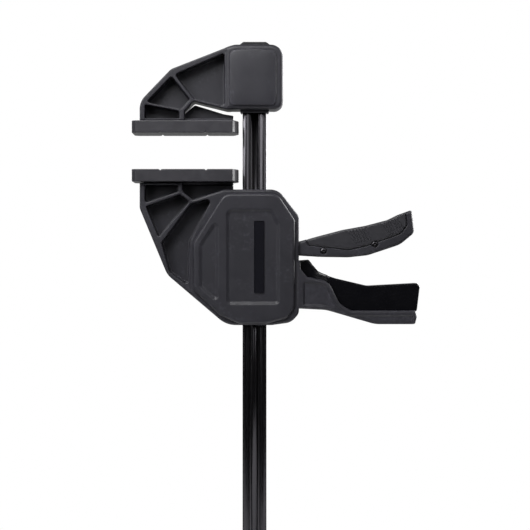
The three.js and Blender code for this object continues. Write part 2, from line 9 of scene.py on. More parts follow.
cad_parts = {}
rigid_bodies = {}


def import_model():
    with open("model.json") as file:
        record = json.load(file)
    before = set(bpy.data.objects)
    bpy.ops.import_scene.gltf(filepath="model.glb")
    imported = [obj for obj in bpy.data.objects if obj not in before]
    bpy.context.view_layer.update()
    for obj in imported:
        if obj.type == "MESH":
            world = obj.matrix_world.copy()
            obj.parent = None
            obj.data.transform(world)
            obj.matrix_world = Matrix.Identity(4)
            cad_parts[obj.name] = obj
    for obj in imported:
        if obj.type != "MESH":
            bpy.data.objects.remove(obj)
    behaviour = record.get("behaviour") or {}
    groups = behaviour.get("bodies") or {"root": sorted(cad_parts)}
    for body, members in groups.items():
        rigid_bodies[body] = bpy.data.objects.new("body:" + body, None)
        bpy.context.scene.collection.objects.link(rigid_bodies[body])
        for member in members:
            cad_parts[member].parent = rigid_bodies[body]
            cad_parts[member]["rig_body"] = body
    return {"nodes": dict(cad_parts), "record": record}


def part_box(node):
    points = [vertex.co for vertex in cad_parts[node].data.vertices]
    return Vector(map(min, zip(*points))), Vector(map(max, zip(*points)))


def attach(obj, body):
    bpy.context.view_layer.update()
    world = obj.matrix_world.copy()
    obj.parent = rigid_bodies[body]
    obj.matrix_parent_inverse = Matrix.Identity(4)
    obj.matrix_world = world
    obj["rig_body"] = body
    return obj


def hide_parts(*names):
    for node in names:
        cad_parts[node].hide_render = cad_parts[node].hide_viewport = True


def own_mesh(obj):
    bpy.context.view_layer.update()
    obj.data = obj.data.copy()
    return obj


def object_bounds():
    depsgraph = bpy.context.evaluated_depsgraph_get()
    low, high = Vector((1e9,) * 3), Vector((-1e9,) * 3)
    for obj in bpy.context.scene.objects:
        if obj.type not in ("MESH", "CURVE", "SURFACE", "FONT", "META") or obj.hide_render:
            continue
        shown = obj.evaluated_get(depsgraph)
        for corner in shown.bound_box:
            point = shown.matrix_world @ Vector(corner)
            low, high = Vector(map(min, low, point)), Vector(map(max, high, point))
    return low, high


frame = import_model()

# The trigger clamp's fine surfaces. Each piece is drawn by a field: a function of u, y and z
# that is negative inside the piece. u is measured from the bar's axis towards the handle, y
# runs across the clamp and z along the bar, all in millimetres; z is zero on the fixed pad's
# clamping face. A half is half of a thickness across the clamp.

CAD_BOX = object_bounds()
MM = 0.001
BAR_LOW, BAR_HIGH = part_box("bar")
BAR_X = (BAR_LOW.x + BAR_HIGH.x) / 2 / MM

# ---- Driving dimensions ----

GAP = 0.3
BAR_HALF_WIDTH = 10.4
BAR_HALF_DEPTH = 5.0
HEAD_TOP = 76.6
HEAD_BOTTOM = 20.6
CAP_TOP = 79.7
JAW_OPENING = 31.3
PAD_HALF = 22.0
PAD_THICKNESS = 10.6
PAD_SOLE = 5.0
PAD_NOTCHES = (-81.1, -41.7)
NOTCH_HALF, NOTCH_DEPTH = 1.9, 1.1
ARM_HALF = 16.0
WEB_HALF = 2.5
FIXED_ARM_ROOT = -21.0
HEAD_HALF = 17.0
COLLAR_HALF = 9.0
BODY_HALF = 17.0
BODY_LEFT = -55.2
COVER_OUT = 20.3
HEAD_COVER_OUT = 19.3
RECESS_DEPTH = 1.6
FOOT_LEFT, FOOT_END, FOOT_THICKNESS = -62.0, -18.5, 2.0
TENON_LEFT, TENON_RIGHT, TENON_HALF = -96.0, -23.0, 11.0
FIXED_SLOT, SLIDING_SLOT = (10, 80), (-170, -40)
SLOT_HALF = 14.7
TRIGGER_HALF = 13.8
GRIP_HALF = 14.2
TONGUE_HALF = 10.4
CHEEK_INNER, CHEEK_OUTER = 8.3, 11.3
NECK_HALF = 7.0
LEVER_HALF = 12.0
TRIGGER_PIVOT = (-20.0, -98.0)
RELEASE_PIVOT = (-22.0, -138.0)
PIN_RADIUS, STOP_PIN_RADIUS = 3.0, 2.0
SCREW_BORE = 1.9
THROUGH = 20.0
HEAD_PINS = (35.0, 60.0)
TRIGGER_SCREWS = ((59.8, -101.8), (104.1, -95.9))
COVER_SCREWS = ((-31.0, -76.0), (24.0, -72.0), (26.5, -150.5), (-38.5, -135.5))
SHELF_TOP, SHELF_BOTTOM = -127.5, -131.0
LEDGE_TOP = -152.3
PLATE_TOP, PLATE_THICKNESS, PLATE_COUNT = -106.0, 3.0, 3
PLATE_HALF, PLATE_REACH = 12.5, 15.5
BRAKE_TOP, BRAKE_BOTTOM, BRAKE_HALF, BRAKE_RIGHT = -136.0, -140.0, 11.0, 28.0
BRAKE_TAB_HALF = 6.6
BRAKE_HUB = 5.4
BRAKE_SPRING_X = 17.0

# ---- Outlines: corners as (u, z, radius) ----

FIXED_JAW = [
    (-99.2, 11), (-99.2, 27.2, 16), (-72.2, 55.3, 12), (-17.6, HEAD_TOP, 16),
    (24.9, HEAD_TOP, 11), (24.9, HEAD_BOTTOM, 8), (-24, HEAD_BOTTOM, 5), (-52.6, 27.6, 2.5),
    (-60.4, 18.9, 2), (-60.4, 11),
]
HEAD = [
    (-25.6, 73.8, 2), (-17.6, HEAD_TOP, 16), (24.9, HEAD_TOP, 11), (24.9, HEAD_BOTTOM, 8),
    (-25, HEAD_BOTTOM, 2),
]
FIXED_POCKETS = [
    [(-69.2, 50.7, 2.5), (-25.8, 69.5, 2), (-25.5, 22.5, 3.5), (-52.4, 29.6, 2)],
    [(-71.8, 49.4, 2), (-55.7, 29.2, 1.5), (-63.6, 20.2, 2), (-93.4, 26.8, 1.5)],
    [(-94.8, 24.8, 1.5), (-65.2, 19.2, 1.5), (-64.8, 12.6, 1), (-94.8, 12.6, 1)],
]
FIXED_GUSSET = [
    (-60.4, 11.2), (-60.4, 17.8), (-52, 25.2, 2), (-26.6, 17.3, 8), (FOOT_END, 16),
    (FOOT_END, 11.2),
]
COLLAR = [
    (-13.2, HEAD_BOTTOM + 1), (13.6, HEAD_BOTTOM + 1), (12, 18.1, 0.5), (-12, 18.1, 0.5),
]
HEAD_PANEL = [
    (-21.8, 71.4, 5), (-1, 73.4, 60), (19.2, 71.4, 5), (19.2, 23.6, 4), (-21.8, 23.6, 4),
]
SLIDING_JAW = [
    (-99.2, -43), (-99.2, -65, 12), (-75.3, -122.4, 18), (-24.2, -165.9, 22), (15, -165.9, 16),
    (31.6, -163.6, 12), (38.5, -156, 8), (38.5, -71.8, 6), (20.6, -48.7, 14), (-26.5, -48.7, 10),
    (-53.1, -57.4, 3), (-62.3, -50.5, 4), (-62.3, -43),
]
SLIDING_POCKETS = [
    [(-94.8, -44.6, 1), (-65.9, -44.6, 1), (-65.9, -50.6, 1.5), (-94.8, -60.4, 2)],
    [(-94, -63.2, 1.5), (-64.1, -52.6, 2), (-56.2, -59.1, 2), (-82.9, -90.4, 1.5)],
    [(-55, -60.7, 2), (-36.2, -56, 2.5), (-56, -94, 5), (-57.5, -131.5, 2), (-73.6, -119.8, 6),
     (-80.6, -94.8, 3)],
]
SLIDING_GUSSET = [
    (-62.3, -43.4), (-62.3, -50.5, 2), (-53.1, -57.4, 2), (-26.5, -48.9, 6), (FOOT_END, -48.9),
    (FOOT_END, -43.4),
]
BODY_CAVITY = [
    (-22.5, -58, 4), (19.5, -58, 5), (31, -79, 3), (31, -147, 6), (21, -158, 8), (8, -160, 8),
    (-10, -160, 10), (-26, -154.5, 8), (-48, -134, 4), (-48, -98, 4),
]
BODY_COVER = [
    (-26.5, -52.3, 12), (20, -52.3, 12), (34.9, -75, 6), (34.9, -150.2, 8), (28.4, -159.8, 9),
    (9.7, -164.7, 10), (-13, -164.7, 14), (-29.9, -157.4, 14), (-52.8, -135.2, 8),
    (-53.3, -95, 8),
]
LABEL = [(-0.3, -75.8, 0.6), (8.4, -75.8, 0.6), (8.4, -138, 0.6), (-0.3, -138, 0.6)]
COVER_RECESSES = [
    [(-31, -70.8, 3), (-47.8, -96.6, 5), (-47.8, -133.2, 5), (-31, -147.4, 3)],
    [(-24.5, -65.7, 6), (15, -65.7, 4), (21.6, -78.8, 4), (21.6, -148.3, 4), (-24.5, -148.3, 4)],
]
HANDLE_PANEL = [
    (42.2, -128.4, 2), (58.4, -129.8, 5), (63, -132.6, 4), (71, -148.4, 10), (81, -157.2, 10),
    (137.6, -157.2, 1), (136.4, -168, 1), (103, -168, 30), (62, -150, 20), (42.2, -149, 2),
]
HANDLE = [
    (36, -110), (39.6, -110.4), (40, -117.4, 4), (45, -124, 5), (60.5, -127.3, 8),
    (65.3, -130.5, 5), (73.5, -147, 10), (83, -153.2, 10), (139, -153.2, 1), (140.4, -158.5, 2),
    (138.8, -165.1, 2), (104, -165.1, 30), (62, -152.8, 30), (36, -151.5),
]
CHANNEL = [
    (38.8, -100), (38.8, -148.6, 3), (62, -150.2, 25), (104, -162.8, 30), (146, -162.8),
    (146, -100),
]
TRIGGER_TOP = [
    (56.3, -88.8, 20), (76, -83.6, 12), (96, -80, 20), (115.4, -74.9, 12), (125.4, -70, 10),
]
TRIGGER = [
    (35, -94.5), *TRIGGER_TOP, (136.2, -66.2, 1.5), (138.4, -86, 6), (126, -96.3, 20),
    (98, -105.6, 25), (82, -107.3, 25), (56, -106.9, 20), (35, -105.6),
]
TRIGGER_GRIP = [
    (44, -92.2, 2), *TRIGGER_TOP, (130.8, -68.2, 1.5), (132.2, -79.8, 4), (125.9, -87.1, 6),
    (97.7, -97.2, 14), (82, -100.9, 14), (47, -96.9, 2),
]
TONGUE = [
    (50, -95, 1), (57, -92.6, 8), (76, -87.4, 8), (96.5, -83.8, 8), (117, -78.4, 8),
    (126.5, -73.6, 1.5), (127.6, -79.4, 2), (130, -84.5), (118, -93), (98, -101), (82, -104),
    (50, -102),
]
CHEEK = [
    (-26.5, -98, 5.5), (-24, -91.8, 4), (-14, -92, 4), (36, -95.6, 4), (74, -94, 3), (74, -105, 3),
    (30, -105, 6), (14, -101, 4), (8, -104, 2), (4, -105.9, 1.5), (0, -104, 2), (-14, -104, 4),
    (-24, -104.2, 4),
]
LEVER_NECK = [
    (21, -135, 1), (21, -119, 4), (30, -110.6, 4), (47, -109.2, 2), (50.4, -113.6, 4),
    (57.3, -121.5, 8), (62, -123.5), (62, -141), (45, -127, 6), (38, -121.8, 4), (30, -122.4, 3),
    (29.6, -143.4, 1.5), (21, -143.4, 1.5),
]
LEVER = [
    (56.5, -120.9), (70, -125.4, 10), (97.6, -131.9, 12), (143.6, -129.4, 3.5),
    (140.6, -154.2, 2), (86, -154.2, 14), (74, -149.6, 10), (56.5, -136),
]

# ---- Fields ----

SHORTEST_ROUND = 0.1
ARC_STEP = math.radians(6)
FAR = np.float32(1e9)


def turns(corners):
    """Where each corner's arc starts and ends, and its centre; no centre if it is sharp."""
    plain = [np.array(corner[:2], float) for corner in corners]
    found = []
    for i, here in enumerate(plain):
        radius = corners[i][2] if len(corners[i]) > 2 else 0
        before = plain[i - 1] - here
        after = plain[(i + 1) % len(plain)] - here
        room = 0.48 * min(np.linalg.norm(before), np.linalg.norm(after))
        before /= np.linalg.norm(before)
        after /= np.linalg.norm(after)
        half = math.acos(np.clip(before @ after, -1, 1)) / 2
        reach = min(radius / math.tan(half), room)
        if reach < SHORTEST_ROUND:
            found.append((here, here, None))
            continue
        inwards = (before + after) / np.linalg.norm(before + after)
        centre = here + inwards * reach / math.cos(half)
        found.append((here + before * reach, here + after * reach, centre))
    return found


def rounded(corners):
    """A closed loop of points through the corners, along the arcs that round them."""
    loop = []
    for first, last, centre in turns(corners):
        if centre is None:
            loop.append(first)
            continue
        (p, q), (r, s) = first - centre, last - centre
        start = math.atan2(q, p)
        turn = (math.atan2(s, r) - start + math.pi) % math.tau - math.pi
        steps = max(2, math.ceil(abs(turn) / ARC_STEP))
        for angle in np.linspace(start, start + turn, steps + 1):
            loop.append(centre + math.hypot(p, q) * np.array([math.cos(angle), math.sin(angle)]))
    return np.array(loop)


def outline(corners):
    """The flat distance to a rounded outline, negative inside it."""
    found = turns(corners)
    sides = [
        (before[1].tolist(), here[0].tolist()) for before, here in zip(found[-1:] + found, found)
    ]
    arcs = []
    for first, last, centre in found:
        if centre is not None:
            middle = (first + last) / 2 - centre
            reach = np.linalg.norm(middle)
            arcs.append((centre.tolist(), np.linalg.norm(first - centre).item(),
                         (middle / reach).tolist(), reach.item(), first.tolist(), last.tolist()))

    def crosses(p, q, start, end):
        (p0, q0), (p1, q1) = start, end
        if q0 == q1:
            return False
        return ((q0 > q) != (q1 > q)) & (p - p0 < (p1 - p0) * (q - q0) / (q1 - q0))

    def distance(p, q):
        nearest, inside = FAR, False
        for (p0, q0), (p1, q1) in sides:
            dp, dq, ep, eq = p - p0, q - q0, p1 - p0, q1 - q0
            along = np.clip((dp * ep + dq * eq) / (ep * ep + eq * eq), 0, 1)
            nearest = np.minimum(nearest, (dp - along * ep) ** 2 + (dq - along * eq) ** 2)
            inside = inside ^ crosses(p, q, (p0, q0), (p1, q1))
        for (p0, q0), radius, (mp, mq), reach, first, last in arcs:
            dp, dq = p - p0, q - q0
            away, ahead = np.sqrt(dp * dp + dq * dq), dp * mp + dq * mq
            facing = ahead * radius > away * reach
            nearest = np.minimum(nearest, np.where(facing, (away - radius) ** 2, FAR))
            inside = inside ^ crosses(p, q, first, last) ^ ((away < radius) & (ahead > reach))
        return np.sqrt(nearest) * np.where(inside, np.float32(-1), np.float32(1))

    return distance


def meet(a, b, edge):
    """Inside both a and b, with the edge between them rounded."""
    a, b = a + edge, b + edge
    outside = np.hypot(np.maximum(a, 0), np.maximum(b, 0))
    return np.minimum(np.maximum(a, b), 0) + outside - edge


def between(value, low, high):
    return np.abs(value - (low + high) / 2) - (high - low) / 2


def slab(corners, half, edge=0.0):
    """An outline in u and z, extruded to half its thickness each way from the middle."""
    flat = outline(corners)
    return lambda u, y, z: meet(flat(u, z), np.abs(y) - half, edge)


def pair(corners, inner, outer, edge=0.0):
    """Two plates of one outline, either side of the middle."""
    flat = outline(corners)
    return lambda u, y, z: meet(flat(u, z), between(np.abs(y), inner, outer), edge)


def column(corners, low, high, edge=0.0):
    """An outline in u and y, extruded along the bar."""
    flat = outline(corners)
    return lambda u, y, z: meet(flat(u, y), between(z, low, high), edge)


def rod(place, radius, low, high, edge=0.0):
    """A round rod across the clamp."""
    return lambda u, y, z: meet(
        np.hypot(u - place[0], z - place[1]) - radius, between(y, low, high), edge)


def rods(places, radius, low=-THROUGH, high=THROUGH, edge=0.0):
    """The same rod at several places, right across the clamp unless its ends are given."""
    return [rod(place, radius, low, high, edge) for place in places]


def block(us, half, zs, edge=0.0):
    """A box between limits in u and z, as thick as a slab."""
    return lambda u, y, z: meet(
        meet(between(u, *us), between(z, *zs), edge), np.abs(y) - half, edge)


def pocket(corners, floor, mouth, edge, draft=0.02):
    """A tool that hollows both sides of a slab down to a floor, its walls drawing in."""
    flat = outline(corners)
    return lambda u, y, z: meet(
        flat(u, z) + draft * (mouth - np.abs(y)), floor - np.abs(y), edge)


def softer(a, b, blend):
    """The smaller of a and b, with a fillet where they cross."""
    if not blend:
        return np.minimum(a, b)
    share = np.clip(0.5 + 0.5 * (b - a) / blend, 0, 1)
    return b + (a - b) * share - blend * share * (1 - share)


def join(*fields, blend=0.0):
    return lambda u, y, z: functools.reduce(
        lambda a, b: softer(a, b, blend), (field(u, y, z) for field in fields))


def cut(field, *tools, blend=0.0):
    return lambda u, y, z: functools.reduce(
        lambda a, b: -softer(-a, b, blend), (tool(u, y, z) for tool in tools), field(u, y, z))


def common(a, b):
    return lambda u, y, z: np.maximum(a(u, y, z), b(u, y, z))


def grown(field, distance):
    return lambda u, y, z: field(u, y, z) - distance


def bar_slot(clearance, low, high):
    """A tool that clears the bar's way through a piece."""
    wide, deep = BAR_HALF_WIDTH + clearance, BAR_HALF_DEPTH + clearance
    return block((-wide, wide), deep, (low, high), 0.8)


# ---- Surfaces from fields ----

CELL_CORNERS = np.array([(i, j, k) for i in (0, 1) for j in (0, 1) for k in (0, 1)])
CELL_EDGES = [
    (a, b) for a in CELL_CORNERS for b in CELL_CORNERS
    if (b - a).min() >= 0 and (b - a).sum() == 1
]
TETRAHEDRON = np.array([(1, -1, -1), (-1, -1, 1), (-1, 1, -1), (1, 1, 1)])
# Points reach the surface by a slope read over BROAD grid steps, which keeps them in order
# along sharp edges. Normals are read over FINE millimetres.
BROAD = 0.25
FINE = 0.02
LEAST_SLOPE = 0.25
# NUDGE keeps flat faces off the grid's own planes.
NUDGE = 0.002
# Faces whose normals agree this closely are flat, and merge within tiles of the grid.
FLAT_SPREAD = math.cos(math.radians(0.2))
FLAT_ANGLE = math.radians(0.05)
TILE = 16
TILE_GROUPS = 27
MANY_GROUPS = 30000
MARGIN = 1.0
FINE_STEP = 0.4
COARSE = 1.0


def slope(field, points, reach):
    """The field's slope around each point, which is the outward normal on a surface."""
    return sum(
        np.outer(field(*(points + reach * way).T), way) for way in TETRAHEDRON
    ) / (4 * reach)


def unit(vectors):
    return vectors / np.maximum(np.linalg.norm(vectors, axis=1, keepdims=True), 1e-9)


def net(values):
    """The surface where the grid's values change sign: its points, in cells, and quads."""
    inside = values < 0
    size = np.array(values.shape) - 1
    count = np.zeros(size, np.uint8)
    for i, j, k in CELL_CORNERS:
        count += inside[i:i + size[0], j:j + size[1], k:k + size[2]]
    active = (count > 0) & (count < 8)
    cells = np.argwhere(active)
    number = np.full(size, -1, np.int64)
    number[active] = np.arange(len(cells))
    total, hits = np.zeros((len(cells), 3)), np.zeros(len(cells))
    for a, b in CELL_EDGES:
        va, vb = values[tuple((cells + a).T)], values[tuple((cells + b).T)]
        crossed = (va < 0) != (vb < 0)
        share = np.where(crossed, va / np.where(crossed, va - vb, 1), 0)
        total += crossed[:, None] * (a + share[:, None] * (b - a))
        hits += crossed
    quads = []
    for axis in range(3):
        one, two = np.eye(3, dtype=int)[[(axis + 1) % 3, (axis + 2) % 3]]
        low = np.take(inside, range(size[axis]), axis)
        high = np.take(inside, range(1, size[axis] + 1), axis)
        edges = np.argwhere(low != high)
        around = [edges - one - two, edges - two, edges, edges - one]
        ring = np.stack([number[tuple(c.T)] for c in around], 1)
        outwards = low[tuple(edges.T)]
        quads.append(np.where(outwards[:, None], ring, ring[:, ::-1]))
    return cells + total / hits[:, None], np.concatenate(quads)


def mesh_from(name, points, faces, groups=None):
    """A mesh of faces that all have the same number of corners, with points in metres."""
    mesh = bpy.data.meshes.new(name)
    mesh.vertices.add(len(points))
    mesh.vertices.foreach_set("co", np.asarray(points, np.float32).ravel())
    mesh.loops.add(faces.size)
    mesh.loops.foreach_set("vertex_index", faces.astype(np.int32).ravel())
    mesh.polygons.add(len(faces))
    starts = np.arange(0, faces.size, faces.shape[1], dtype=np.int32)
    mesh.polygons.foreach_set("loop_start", starts)
    if groups is not None:
        mesh.polygons.foreach_set("material_index", groups.astype(np.int32))
    mesh.update(calc_edges=True)
    mesh.validate()
    mesh.shade_smooth()
    return mesh


def placed(mesh):
    """A new object in the scene holding this mesh."""
    obj = bpy.data.objects.new(mesh.name, mesh)
    bpy.context.scene.collection.objects.link(obj)
    return obj


def settle(obj):
    """Applies the object's modifiers."""
    bpy.context.view_layer.update()
    evaluated = obj.evaluated_get(bpy.context.evaluated_depsgraph_get())
    mesh = bpy.data.meshes.new_from_object(evaluated)
    obj.modifiers.clear()
    obj.data = mesh


def in_metres(points):
    """Points in u, y and z as points in the clamp's own frame."""
    return (np.asarray(points) + (BAR_X, 0, 0)) * MM


def sampled(node, field, step):
    """The field's surface inside the CAD node's box: points, quads, their cells and slopes."""
    low, high = (np.array(corner) / MM - (BAR_X, 0, 0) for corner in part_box(node))
    low, high = low - MARGIN - step, high + MARGIN + step
    u, y, z = (np.arange(a, b, step, dtype=np.float32) for a, b in zip(low, high))
    cells, quads = net(field(u[:, None, None], y[None, :, None], z[None, None, :]) + NUDGE)
    points = low + cells * step
    rise = slope(field, points, BROAD * step)
    steepness = np.maximum((rise ** 2).sum(1), LEAST_SLOPE)
    points -= rise * (field(*points.T) / steepness)[:, None]
    return points, quads, cells, rise


def flat_groups(cells, quads, rise):
    """A group for each quad: quads on a plane share their tile's, all others stay apart."""
    around = unit(rise)[quads]
    curved = (around * around[:, :1]).sum(2).min(1) < FLAT_SPREAD
    near = np.zeros(len(cells), bool)
    near[quads[curved]] = True
    tiles = (cells[quads[:, 0]] // TILE).astype(int) % 3 @ (1, 3, 9)
    apart = TILE_GROUPS + np.arange(len(quads)) % MANY_GROUPS
    return np.where(near[quads].any(1), apart, tiles)


def fit_normals(obj, field):
    """Gives each of the object's points the field's own normal."""
    points = np.zeros(len(obj.data.vertices) * 3, np.float32)
    obj.data.vertices.foreach_get("co", points)
    points = points.reshape(-1, 3).astype(float) / MM - (BAR_X, 0, 0)
    normals = unit(slope(field, points, FINE))
    fitted = obj.data.attributes.new("custom_normal", "FLOAT_VECTOR", "POINT")
    fitted.data.foreach_set("vector", normals.astype(np.float32).ravel())


def surface(node, field, step):
    """The field's surface as one object, with its flat faces merged and fitted normals."""
    step *= COARSE if step > FINE_STEP else 1
    points, quads, cells, rise = sampled(node, field, step)
    groups = flat_groups(cells, quads, rise)
    obj = placed(mesh_from(f"{node}_shape", in_metres(points), quads, groups))
    flats = obj.modifiers.new("flats", "DECIMATE")
    flats.decimate_type = "DISSOLVE"
    flats.angle_limit = FLAT_ANGLE
    flats.delimit = {"MATERIAL"}
    settle(obj)
    fit_normals(obj, field)
    obj.data.polygons.foreach_set("material_index", np.zeros(len(obj.data.polygons), np.int32))
    obj.data.update()
    return obj


# ---- Materials ----


class Look:
    """A Principled material and the nodes that drive it. Patterns are sized in millimetres."""

    def __init__(self, name, roughness=0.5, metallic=0.0, specular=0.5):
        self.material = bpy.data.materials.new(name)
        self.material.use_nodes = True
        self.tree = self.material.node_tree
        self.shader = self.tree.nodes["Principled BSDF"]
        self.shader.inputs["Roughness"].default_value = roughness
        self.shader.inputs["Metallic"].default_value = metallic
        self.shader.inputs["Specular IOR Level"].default_value = specular
        self.place = self.node("ShaderNodeTexCoord").outputs["Object"]

    def node(self, kind, inputs=None, **settings):
        made = self.tree.nodes.new(kind)
        for name, value in settings.items():
            setattr(made, name, value)
        for name, value in (inputs or {}).items():
            if isinstance(value, bpy.types.NodeSocket):
                self.tree.links.new(value, made.inputs[name])
            else:
                made.inputs[name].default_value = value
        return made

    def noise(self, size, detail, stretch=(1, 1, 1)):
        """Noise whose features are about size millimetres, times the stretch."""
        scale = tuple(1 / (size * MM * s) for s in stretch)
        mapped = self.node("ShaderNodeMapping", {"Vector": self.place, "Scale": scale})
        inputs = {"Vector": mapped.outputs[0], "Scale": 1.0, "Detail": detail}
        return self.node("ShaderNodeTexNoise", inputs).outputs["Fac"]

    def span(self, value, low, high, to_low=0.0, to_high=1.0):
        """The value carried from one range to another, and held within it."""
        inputs = {
            "Value": value, "From Min": low, "From Max": high, "To Min": to_low, "To Max": to_high,
        }
        return self.node("ShaderNodeMapRange", inputs).outputs[0]

    def math(self, operation, a, b):
        return self.node("ShaderNodeMath", {0: a, 1: b}, operation=operation).outputs[0]

    def mix(self, share, a, b):
        a, b = (c if isinstance(c, bpy.types.NodeSocket) else (*c, 1) for c in (a, b))
        inputs = {"Factor": share, 6: a, 7: b}
        return self.node("ShaderNodeMix", inputs, data_type="RGBA").outputs[2]

    def edges(self, radius):
        """About 1 on outside edges and 0 on flat faces."""
        inputs = {"Distance": radius * MM}
        thin = self.node(
            "ShaderNodeAmbientOcclusion", inputs, inside=True, only_local=True, samples=6)
        return self.span(thin.outputs["AO"], 0.9, 0.6)

    def crevices(self, radius):
        """About 1 in inside corners and 0 in the open."""
        inputs = {"Distance": radius * MM}
        near = self.node("ShaderNodeAmbientOcclusion", inputs, only_local=True, samples=6)
        return self.span(near.outputs["AO"], 0.75, 0.3)

    def bump(self, height, distance, strength=1.0):
        inputs = {"Height": height, "Distance": distance * MM, "Strength": strength}
        if self.shader.inputs["Normal"].is_linked:
            inputs["Normal"] = self.shader.inputs["Normal"].links[0].from_socket
        self.drive("Normal", self.node("ShaderNodeBump", inputs).outputs[0])

    def drive(self, socket, value):
        self.tree.links.new(value, self.shader.inputs[socket])


def tinted(colour, share):
    """The colour, lighter or darker by a factor."""
    return tuple(c * share for c in colour)


SPECK_GREY = (0.14, 0.135, 0.13)
DUST_GREY = (0.12, 0.118, 0.115)


def moulded_plastic(name, colour, grain=0.35, roughness=(0.4, 0.52)):
    """Spark-textured moulding: grain, flow marks, scuffs, rubbed edges and a little dust."""
    look = Look(name, specular=0.4)
    flow = look.span(look.noise(26, 3, (1, 1, 2.4)), 0.3, 0.7)
    tone = look.mix(flow, tinted(colour, 0.88), tinted(colour, 1.12))
    patches = look.span(look.noise(22, 2), 0.48, 0.62, 0, 0.3)
    scuffs = look.math("MULTIPLY", patches, look.span(look.noise(3, 5), 0.5, 0.72))
    tone = look.mix(scuffs, tone, tinted(colour, 3))
    rubbed = look.math("MULTIPLY", look.edges(1.2), look.span(look.noise(4, 4), 0.3, 0.7))
    tone = look.mix(look.math("MULTIPLY", rubbed, 0.55), tone, tinted(colour, 2.6))
    fine_specks = look.span(look.noise(0.9, 3), 0.69, 0.76)
    speckled = look.span(look.noise(17, 3), 0.5, 0.7, 0, 0.35)
    tone = look.mix(look.math("MULTIPLY", fine_specks, speckled), tone, SPECK_GREY)
    corners = look.crevices(2.5)
    dusty = look.span(look.noise(5, 3), 0.4, 0.8, 0, 0.12)
    tone = look.mix(look.math("MULTIPLY", corners, dusty), tone, DUST_GREY)
    look.drive("Base Color", tone)
    look.drive("Roughness", look.span(look.noise(9, 4), 0.3, 0.7, *roughness))
    look.bump(look.noise(grain, 2), 0.03)
    look.bump(look.noise(16, 2), 0.1, 0.4)
    return look.material


def soft_rubber(name, colour, roughness=(0.36, 0.5)):
    """Rubber with a fine grain and a dull sheen, rubbed a little lighter along its edges."""
    look = Look(name, specular=0.5)
    cloud = look.span(look.noise(12, 4), 0.3, 0.7)
    tone = look.mix(cloud, tinted(colour, 0.92), tinted(colour, 1.12))
    smears = look.span(look.noise(2.6, 5, (5, 1, 1)), 0.6, 0.75, 0, 0.16)
    tone = look.mix(smears, tone, tinted(colour, 2.2))
    rubbed = look.math("MULTIPLY", look.edges(1.4), look.span(look.noise(3, 4), 0.3, 0.7, 0, 0.5))
    look.drive("Base Color", look.mix(rubbed, tone, tinted(colour, 2.8)))
    look.drive("Roughness", look.span(look.noise(4, 3), 0.3, 0.7, *roughness))
    look.bump(look.noise(0.5, 3), 0.035)
    look.shader.inputs["Sheen Weight"].default_value = 0.05
    look.shader.inputs["Sheen Roughness"].default_value = 0.5
    return look.material


def gloss_plastic(name, colour, specular=0.5):
    """Polished moulding: shallow ripple and hairline scratches under a clear gloss, and a painted
    highlight that lightens every outside edge.
    """
    look = Look(name, specular=specular)
    # Painted highlight: every outside edge is coloured evenly lighter, standing in for the gloss
    # catching light along its edges.
    look.drive("Base Color", look.mix(look.edges(1.0), colour, tinted(colour, 3.5)))
    scratches = look.span(look.noise(1.2, 4, (12, 1, 1)), 0.66, 0.74, 0, 0.12)
    smear = look.span(look.noise(12, 3), 0.35, 0.7, 0.16, 0.26)
    look.drive("Roughness", look.math("ADD", smear, scratches))
    look.bump(look.noise(7, 1), 0.04, 0.5)
    look.bump(look.noise(0.6, 2), 0.006)
    return look.material


def drawn_steel(name, colour, worn, roughness):
    """Black-finished bar steel, with drawing lines along it and brighter rubbed edges."""
    look = Look(name, metallic=1.0)
    lines = look.noise(0.5, 3, (1, 1, 220))
    cloud = look.span(look.noise(30, 3, (1, 1, 3)), 0.3, 0.7)
    tone = look.mix(cloud, tinted(colour, 0.9), tinted(colour, 1.12))
    corners = look.edges(0.9)
    handled = look.span(look.noise(8, 4, (1, 1, 5)), 0.4, 0.7)
    rubbed = look.math("MULTIPLY", corners, handled)
    tracks = look.span(look.noise(0.9, 3, (1, 1, 300)), 0.62, 0.74, 0, 0.18)
    marks = look.math("MAXIMUM", look.math("MULTIPLY", rubbed, 0.5), tracks)
    look.drive("Base Color", look.mix(marks, tone, worn))
    look.drive("Roughness", look.span(lines, 0.3, 0.7, *roughness))
    look.bump(lines, 0.0012)
    return look.material


def plated_steel(name, colour, roughness=(0.24, 0.42)):
    """Zinc-plated or spring steel: cloudy plating, fine scratches and painted shade that darkens
    its crevices.
    """
    look = Look(name, metallic=1.0)
    cloud = look.span(look.noise(3.5, 4), 0.35, 0.7)
    tone = look.mix(cloud, colour, tinted(colour, 0.8))
    # Painted shade: the colour drops to a third in inside corners, where shade falls.
    look.drive("Base Color", look.mix(look.crevices(1.2), tone, tinted(colour, 0.3)))
    look.drive("Roughness", look.span(look.noise(1.2, 4), 0.3, 0.7, *roughness))
    look.bump(look.noise(0.25, 3), 0.005)
    return look.material


RECIPES = {
    "charcoal_nylon": (moulded_plastic, (0.028, 0.0275, 0.0345)),
    "pad_rubber": (soft_rubber, (0.032, 0.031, 0.0375)),
    "grip_rubber": (soft_rubber, (0.026, 0.0255, 0.031), (0.42, 0.55)),
    "gloss_black": (gloss_plastic, (0.0035, 0.0035, 0.005)),
    "black_steel": (drawn_steel, (0.062, 0.06, 0.066), (0.2, 0.2, 0.21), (0.2, 0.32)),
    "bright_steel": (plated_steel, (0.55, 0.55, 0.56)),
    "spring_steel": (plated_steel, (0.34, 0.34, 0.36), (0.28, 0.45)),
    "label_black": (gloss_plastic, (0.003, 0.003, 0.004), 0.06),
    "guide_nylon": (moulded_plastic, (0.012, 0.012, 0.014), 0.3, (0.35, 0.5)),
}
FINISHES = {slot: recipe(slot, *values) for slot, (recipe, *values) in RECIPES.items()}
SLOTS = {row["node"]: row["material_slot"] for row in frame["record"]["subparts"]}


